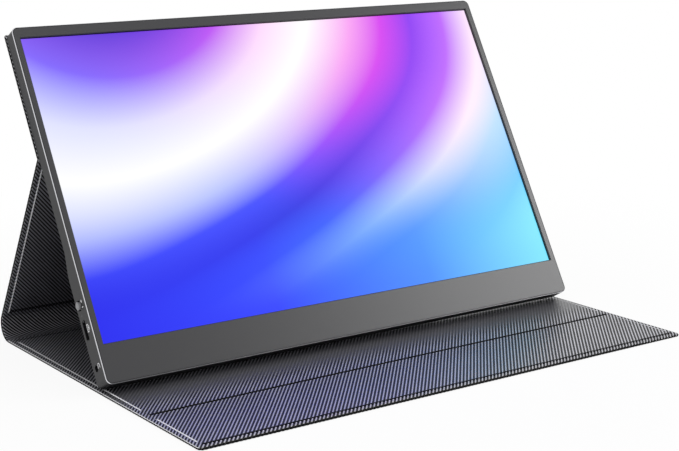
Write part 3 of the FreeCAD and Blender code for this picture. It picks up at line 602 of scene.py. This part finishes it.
def painted_foot_shade(tree, relief, rest):
    """Relief of the ribs, evened out in a soft band along the edge that rests at y = rest: painted shade
    there.
    """
    coordinates = add(tree, "ShaderNodeTexCoord").outputs["Object"]
    depth = add(tree, "ShaderNodeSeparateXYZ", {0: coordinates}).outputs["Y"]
    ahead = add(tree, "ShaderNodeMapRange", {"Value": depth, "From Min": rest - SHADE_AHEAD,
                                             "From Max": rest - SHADE_FULL, "To Max": SHADE_SHARE},
                interpolation_type="SMOOTHSTEP")
    behind = add(tree, "ShaderNodeMapRange", {"Value": depth, "From Min": rest, "From Max": rest + SHADE_BEHIND,
                                              "To Min": 1.0, "To Max": 0.0}, interpolation_type="SMOOTHSTEP")
    share = add(tree, "ShaderNodeMath", {0: ahead.outputs["Result"], 1: behind.outputs["Result"]},
                operation="MULTIPLY")
    return add(tree, "ShaderNodeMix", {0: share.outputs[0], 2: relief, 3: SHADE_LEVEL}).outputs[0]


def coated_twill(name, valley, slope, crest, rest=None):
    """PU-coated twill: raised diagonal ribs, lighter and glossier on their crests, with threads across them;
    the lighter crests and dark valleys are partly the cloth's tone and partly painted highlight and painted
    shade.

    rest is the y of an edge along which painted shade evens them out, if there is one.
    """
    material, tree, shader = new_material(name, IOR=1.8)
    layout = add(tree, "ShaderNodeUVMap", uv_map="layout").outputs["UV"]
    ribs = add(tree, "ShaderNodeTexWave", {"Vector": layout, "Scale": math.tau / 20},
               wave_type="BANDS", bands_direction="X", wave_profile="SIN").outputs["Fac"]
    threads = add(tree, "ShaderNodeTexWave", {"Vector": layout, "Scale": math.tau * RIB_THREADS / 20},
                  wave_type="BANDS", bands_direction="Y", wave_profile="SIN").outputs["Fac"]
    patches = add(tree, "ShaderNodeTexNoise", {"Vector": layout, "Scale": PATCH_SCALE, "Detail": 2.0})
    uneven = add(tree, "ShaderNodeMath", {0: patches.outputs["Fac"], 1: 0.16, 2: -0.08},
                 operation="MULTIPLY_ADD")
    relief = add(tree, "ShaderNodeMath", {0: ribs, 1: uneven.outputs[0]}, operation="ADD").outputs[0]
    # Painted shade: ribs evened out to dark grey along the monitor's lower edge
    if rest is not None:
        relief = painted_foot_shade(tree, relief, rest)
    # Partly painted light: on top of the cloth's own tone, the valleys carry painted shade and the crests
    # painted highlight
    shade = ramp(tree, relief, [(0.34, valley), (0.62, slope), (0.92, crest)])
    tree.links.new(shade, shader.inputs["Base Color"])
    rise = {"Value": relief, "From Min": RIB_FOOT, "From Max": RIB_CREST}
    polish = add(tree, "ShaderNodeMapRange", {**rise, "To Min": 0.1, "To Max": 1.0})
    tree.links.new(polish.outputs["Result"], shader.inputs["Specular IOR Level"])
    gloss = add(tree, "ShaderNodeMapRange", {**rise, "To Min": 0.5, "To Max": 0.26})
    tree.links.new(gloss.outputs["Result"], shader.inputs["Roughness"])
    weave = add(tree, "ShaderNodeBump", {"Height": threads, "Distance": 0.04 * MM, "Strength": 0.5})
    tree.links.new(weave.outputs["Normal"], shader.inputs["Normal"])
    return material


def anodised_cover(name):
    """Bead-blasted, anodised aluminium: even dark grey, with a diamond-cut bright line on its front bevel."""
    material, tree, shader = new_material(name)
    coordinates = add(tree, "ShaderNodeTexCoord")
    noise = add(tree, "ShaderNodeTexNoise", {"Vector": coordinates.outputs["Object"], "Scale": 1 / (0.5 * MM),
                                             "Detail": 2.0})
    front = (0, -math.sin(SLAB_RISE), math.cos(SLAB_RISE))
    facing = add(tree, "ShaderNodeVectorMath", {0: coordinates.outputs["Normal"], 1: front},
                 operation="DOT_PRODUCT")
    bevel = add(tree, "ShaderNodeMath", {0: facing.outputs["Value"], 1: math.sqrt(0.5), 2: 0.15},
                 operation="COMPARE")
    grey = ramp(tree, noise.outputs["Fac"], [(0.3, "#1e1e20"), (0.7, "#232326")])
    mixed = add(tree, "ShaderNodeMix", {0: bevel.outputs["Value"], 6: grey, 7: colour("#d2d2d6")},
                data_type="RGBA")
    metal = add(tree, "ShaderNodeMapRange", {"Value": bevel.outputs["Value"], "To Min": 0.5, "To Max": 1.0})
    tree.links.new(metal.outputs["Result"], shader.inputs["Metallic"])
    gloss = add(tree, "ShaderNodeMapRange", {"Value": bevel.outputs["Value"], "To Min": 0.45, "To Max": 0.2})
    tree.links.new(gloss.outputs["Result"], shader.inputs["Roughness"])
    tree.links.new(mixed.outputs[2], shader.inputs["Base Color"])
    relief = add(tree, "ShaderNodeBump",
                 {"Height": noise.outputs["Fac"], "Distance": 0.02 * MM, "Strength": 0.4})
    tree.links.new(relief.outputs["Normal"], shader.inputs["Normal"])
    return material


def lit_screen(name):
    """LCD behind an anti-glare film: it glows with a soft flow of colours inside a narrow dark margin."""
    material, tree, shader = new_material(name, Base_Color=colour("#050506"), Roughness=0.35,
                                            Specular_IOR_Level=0.2, Emission_Strength=1.0)
    low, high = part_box("lcd_panel")
    turn = Matrix.Rotation(-SLAB_RISE, 3, "X")
    centre = turn @ ((low + high) / 2)
    spot = add(tree, "ShaderNodeTexCoord").outputs["Object"]
    flat = add(tree, "ShaderNodeMapping",
               {"Vector": spot, "Location": -centre, "Rotation": (-SLAB_RISE, 0, 0)})
    part = add(tree, "ShaderNodeSeparateXYZ", {"Vector": flat.outputs["Vector"]}).outputs
    hub = (-0.75 * SCREEN_HEIGHT, 0.95 * SCREEN_HEIGHT, 0)
    arm = add(tree, "ShaderNodeVectorMath", {0: flat.outputs["Vector"], 1: hub}, operation="SUBTRACT")
    reach = add(tree, "ShaderNodeVectorMath", {0: arm.outputs["Vector"]}, operation="LENGTH")
    drift = add(tree, "ShaderNodeTexNoise",
                {"Vector": flat.outputs["Vector"], "Scale": 1 / (260 * MM), "Detail": 0.0})
    bend = add(tree, "ShaderNodeMath", {0: drift.outputs["Fac"], 1: 0.7, 2: -0.35}, operation="MULTIPLY_ADD")
    sweep = add(tree, "ShaderNodeMath", {0: reach.outputs["Value"], 1: 1 / SCREEN_HEIGHT, 2: bend.outputs[0]},
                operation="MULTIPLY_ADD")
    flow = add(tree, "ShaderNodeMapRange", {"Value": sweep.outputs[0], "From Min": 0.45, "From Max": 2.1})
    cool = ramp(tree, flow.outputs["Result"], [
        (0.0, "#3a2fd0"), (0.1, "#5b6cff"), (0.2, "#dfe2ff"), (0.3, "#ffffff"),
        (0.4, "#b9c4ff"), (0.47, "#3b49ff"), (0.54, "#1a1fe0"), (0.62, "#2450ff"),
        (0.7, "#8fc4ff"), (0.78, "#2f8dff"), (0.9, "#49b8ff"), (1.0, "#7fe6ff")])
    warm = ramp(tree, flow.outputs["Result"], [
        (0.0, "#5a2ad8"), (0.1, "#c44cf2"), (0.2, "#ffd9fb"), (0.3, "#ffffff"),
        (0.4, "#f7a2f2"), (0.47, "#d438ee"), (0.54, "#8a2bf0"), (0.62, "#b85cff"),
        (0.7, "#ffe9ff"), (0.78, "#b9dcff"), (0.9, "#6cc4ff"), (1.0, "#8ff0ff")])
    lean = add(tree, "ShaderNodeVectorMath", {0: flat.outputs["Vector"], 1: (0.45, 0.9, 0)},
               operation="DOT_PRODUCT")
    side = add(tree, "ShaderNodeMapRange", {"Value": lean.outputs["Value"], "From Min": -0.25 * SCREEN_HEIGHT,
                                            "From Max": 0.5 * SCREEN_HEIGHT}, interpolation_type="SMOOTHSTEP")
    sky = add(tree, "ShaderNodeMix", {0: side.outputs["Result"], 6: cool, 7: warm},
              data_type="RGBA").outputs[2]
    across = add(tree, "ShaderNodeMath", {0: part["X"], 1: 1 / SCREEN_WIDTH, 2: 0.5},
                 operation="MULTIPLY_ADD")
    shore = ramp(tree, across.outputs[0],
                 [(0.0, "#1a1ff0"), (0.35, "#2038ff"), (0.7, "#2f86ff"), (1.0, "#6fe0ff")])
    depth = add(tree, "ShaderNodeMapRange", {"Value": part["Y"], "From Min": -0.08 * SCREEN_HEIGHT,
                                             "From Max": -0.5 * SCREEN_HEIGHT},
                interpolation_type="SMOOTHSTEP")
    hue = add(tree, "ShaderNodeMix", {0: depth.outputs["Result"], 6: sky, 7: shore},
              data_type="RGBA").outputs[2]
    sides = []
    for axis, size in (("X", SCREEN_WIDTH), ("Y", SCREEN_HEIGHT)):
        reach = add(tree, "ShaderNodeMath", {0: part[axis]}, operation="ABSOLUTE")
        sides.append(add(tree, "ShaderNodeMath", {0: reach.outputs[0], 1: size / 2 - DARK_MARGIN},
                         operation="SUBTRACT"))
    outside = add(tree, "ShaderNodeMath", {0: sides[0].outputs[0], 1: sides[1].outputs[0]},
                  operation="MAXIMUM")
    dark = add(tree, "ShaderNodeMath", {0: outside.outputs[0], 1: 0.0}, operation="GREATER_THAN")
    picture = add(tree, "ShaderNodeMix", {0: dark.outputs[0], 6: hue, 7: colour("#000000")}, data_type="RGBA")
    tree.links.new(picture.outputs[2], shader.inputs["Emission Color"])
    return material


# Lighter copy of the cloth, for flap, crease, base and spine, with painted shade in a band along the
# monitor's lower edge
twill = coated_twill("pu_coated_twill", "#0a0a0c", "#28282c", "#b0b0b8", MONITOR_FOOT)
# Same cloth as a darker copy, painted shade: on the leg and back panel and on the outside of the case, which
# lie in shade
painted_shade_twill = coated_twill("pu_coated_dark_twill", "#0a0a0b", "#242428", "#80808a")
# Painted highlight: near-white colour on the slanted pressed edges of the lining and skin, standing in for
# the light they catch
painted_highlight_edge = grainy("pressed_pu_edge", "#f0f0f4", "#f8f8fa", 0.8, 0.02, Roughness=0.5)
# Painted shade: near-black colour in the pressed grooves at the crease and at the ends of the boards
painted_shade_groove = grainy("pressed_pu_groove", "#060607", "#0a0a0b", 0.8, 0.02, Roughness=0.7,
                        Specular_IOR_Level=0.05)
# Edge where the skin is turned over the board and glued: smooth black PU, coloured near black also as painted
# shade along the case's lower edges
turned_edge_and_shade = grainy("turned_pu_edge", "#070708", "#0b0b0c", 1.5, 0.02, Roughness=0.6, Specular_IOR_Level=0.1)
white_print = grainy("white_pad_print", "#eeeef0", "#f6f6f8", 0.2, 0.002, Roughness=0.6)
cover_metal = anodised_cover("anodised_aluminium")
# Moulded ABS with a fine spark texture: soft, broad reflections
bezel_plastic = grainy("spark_textured_abs", "#27272a", "#2c2c2f", 0.35, 0.008, Roughness=0.32)
screen = lit_screen("lit_lcd_glass")
# Plated steel shells: bright, slightly brushed
plated_steel = grainy("plated_steel", "#a3a3a6", "#bdbdc0", 0.3, 0.005, Metallic=1.0, Roughness=0.3)
# Moulded nylon and epoxy: black, dull
black_nylon = grainy("moulded_black_nylon", "#121213", "#1a1a1b", 0.4, 0.01, Roughness=0.5)
jog_grey = grainy("satin_grey_abs", "#8f8f92", "#9b9b9e", 0.3, 0.008, Roughness=0.35)
solder_mask = grainy("green_solder_mask", "#0c4a26", "#12592f", 1.2, 0.02, Roughness=0.35)
polyimide = grainy("polyimide_ribbon", "#8a5a1e", "#9a6826", 2.0, 0.01, Roughness=0.3)
diffuser = grainy("diffusing_film", "#e6e6e6", "#f0f0f0", 1.0, 0.005, Roughness=0.6)
# Light pipe, dark while the light is off
smoked_acrylic = grainy("smoked_acrylic", "#0d0d0f", "#131315", 1.0, 0.002, Roughness=0.2)
clear_acrylic = grainy("clear_acrylic", "#dfe8ee", "#e9f1f6", 2.0, 0.002, Roughness=0.1,
                       Transmission_Weight=0.6)
tray_steel = grainy("rolled_tray_steel", "#8d8d8f", "#a0a0a3", 1.5, 0.005, Metallic=1.0, Roughness=0.4)
foam_black = grainy("closed_cell_foam", "#1a1a1b", "#262627", 0.6, 0.1, Roughness=0.9)
magnet_nickel = grainy("nickel_plated_magnet", "#b0aea8", "#c2c0ba", 1.0, 0.004, Metallic=1.0, Roughness=0.25)
grey_board = grainy("grey_board", "#6d6a64", "#7c7973", 0.8, 0.05, Roughness=0.8)
paper_cone = grainy("coated_paper_cone", "#1c1c1d", "#262628", 0.5, 0.03, Roughness=0.6)
black_zinc = grainy("black_zinc_screw", "#29292b", "#353537", 0.3, 0.006, Metallic=1.0, Roughness=0.35)

finishes = {
    cover_metal: ["rear_cover"],
    bezel_plastic: ["front_bezel"],
    screen: ["lcd_panel"],
    plated_steel: ["mini_hdmi_socket", "usb_c_sockets", "shield_can"],
    black_nylon: ["headphone_jack", "jog_switch_housing", "jog_plunger", "bezel_tape", "main_board_chips",
                  "usb_board_chips", "left_speaker", "right_speaker", "left_speaker_lead",
                  "right_speaker_lead"],
    jog_grey: ["jog_cap", "jog_stem"],
    solder_mask: ["main_board", "usb_board", "panel_driver_board"],
    polyimide: ["panel_ribbon", "board_link_ribbon"],
    diffuser: ["optical_films", "reflector_film", "led_bar"],
    clear_acrylic: ["light_guide"],
    smoked_acrylic: ["status_light_pipe"],
    tray_steel: ["panel_tray", "keeper_plates"],
    foam_black: ["foam_pads"],
    magnet_nickel: ["back_panel_magnets", "flap_magnets"],
    grey_board: ["back_panel_board", "leg_board", "base_board", "flap_board", "spine_core"],
    paper_cone: ["speaker_diaphragms"],
    black_zinc: ["board_screws", "cover_screws"],
    twill: ["back_panel_skin", "back_panel_lining", "leg_skin", "leg_lining", "prop_fold_strip", "spine_skin",
            "spine_lining", "base_skin", "base_lining", "crease_strip", "flap_skin", "flap_lining"],
}
for finish, names in finishes.items():
    for name in names:
        slots = frame["nodes"][name].data.materials
        slots.clear()
        slots.append(finish)

make_folio()
make_signs()


# Stage, light and camera
def make_floor():
    clear_selection()
    bpy.ops.mesh.primitive_plane_add(size=FLOOR_SIZE)
    floor = bpy.context.object
    floor.name = "floor"
    material = bpy.data.materials.new("white_paper_sweep")
    material.use_nodes = True
    tree = material.node_tree
    tree.nodes.clear()
    paper = add(tree, "ShaderNodeBsdfDiffuse", {"Color": colour("#f4f4f4")})
    glow = add(tree, "ShaderNodeEmission", {"Color": (1, 1, 1, 1), "Strength": 1.0})
    spot = add(tree, "ShaderNodeTexCoord").outputs["Object"]
    reach = add(tree, "ShaderNodeVectorMath", {0: spot}, operation="LENGTH")
    far = add(tree, "ShaderNodeMapRange", {"Value": reach.outputs["Value"], "From Min": 0.2, "From Max": 0.6,
                                           "To Min": 0.92}, interpolation_type="SMOOTHSTEP")
    seen = seen_rays(tree)
    both = add(tree, "ShaderNodeMath", {0: far.outputs["Result"], 1: seen}, operation="MULTIPLY")
    mixed = add(tree, "ShaderNodeMixShader", {0: both.outputs[0], 1: paper.outputs[0], 2: glow.outputs[0]})
    add(tree, "ShaderNodeOutputMaterial", {"Surface": mixed.outputs[0]})
    floor.data.materials.append(material)


def seen_rays(tree):
    """1 for the rays that show the backdrop: to the eye, in gloss and through glass."""
    path = add(tree, "ShaderNodeLightPath")
    first = add(tree, "ShaderNodeMath", {0: path.outputs["Is Camera Ray"], 1: path.outputs["Is Glossy Ray"]},
                operation="MAXIMUM")
    return add(tree, "ShaderNodeMath", {0: first.outputs[0], 1: path.outputs["Is Transmission Ray"]},
               operation="MAXIMUM").outputs[0]


def make_world():
    world = bpy.data.worlds.new("studio")
    world.use_nodes = True
    tree = world.node_tree
    tree.nodes.clear()
    room = add(tree, "ShaderNodeBackground", {"Color": (1, 1, 1, 1), "Strength": ROOM_LEVEL})
    backdrop = add(tree, "ShaderNodeBackground", {"Color": (1, 1, 1, 1), "Strength": 1.0})
    mixed = add(tree, "ShaderNodeMixShader", {0: seen_rays(tree), 1: room.outputs[0], 2: backdrop.outputs[0]})
    add(tree, "ShaderNodeOutputWorld", {"Surface": mixed.outputs[0]})
    bpy.context.scene.world = world


def softbox(name, spot, target, size, power):
    light = bpy.data.lights.new(name, "AREA")
    light.shape = "RECTANGLE"
    light.size, light.size_y = size
    light.energy = power
    lamp = bpy.data.objects.new(name, light)
    bpy.context.scene.collection.objects.link(lamp)
    lamp.location = spot
    lamp.rotation_euler = (Vector(target) - Vector(spot)).to_track_quat("-Z", "Y").to_euler()


def make_camera():
    azimuth = math.radians(AZIMUTH)
    elevation = math.radians(ELEVATION)
    back = Vector((math.sin(azimuth) * math.cos(elevation), -math.cos(azimuth) * math.cos(elevation),
                   math.sin(elevation)))
    right = (-back).cross(Vector((0, 0, 1))).normalized()
    up = right.cross(-back)
    roll = math.radians(ROLL)
    across = math.cos(roll) * right + math.sin(roll) * up
    upward = -math.sin(roll) * right + math.cos(roll) * up
    camera = bpy.data.cameras.new("camera")
    camera.sensor_width = SENSOR
    camera.lens = FOCAL_PIXELS * SENSOR / PICTURE_WIDTH
    camera.clip_end = 50
    eye = bpy.data.objects.new("camera", camera)
    turn = Matrix((across, upward, back)).transposed()
    eye.matrix_world = Matrix.Translation(CAMERA_PLACE) @ turn.to_4x4()
    bpy.context.scene.collection.objects.link(eye)
    bpy.context.scene.camera = eye


make_floor()
make_world()
softbox("key_softbox", (1.6, -0.95, 0.95), (0, 0, 0.08), (1.0, 0.8), KEY_POWER)
softbox("top_softbox", (0.0, -0.3, 1.8), (0, 0, 0.0), (1.2, 1.0), TOP_POWER)
make_camera()
bpy.context.scene.view_settings.view_transform = "Standard"
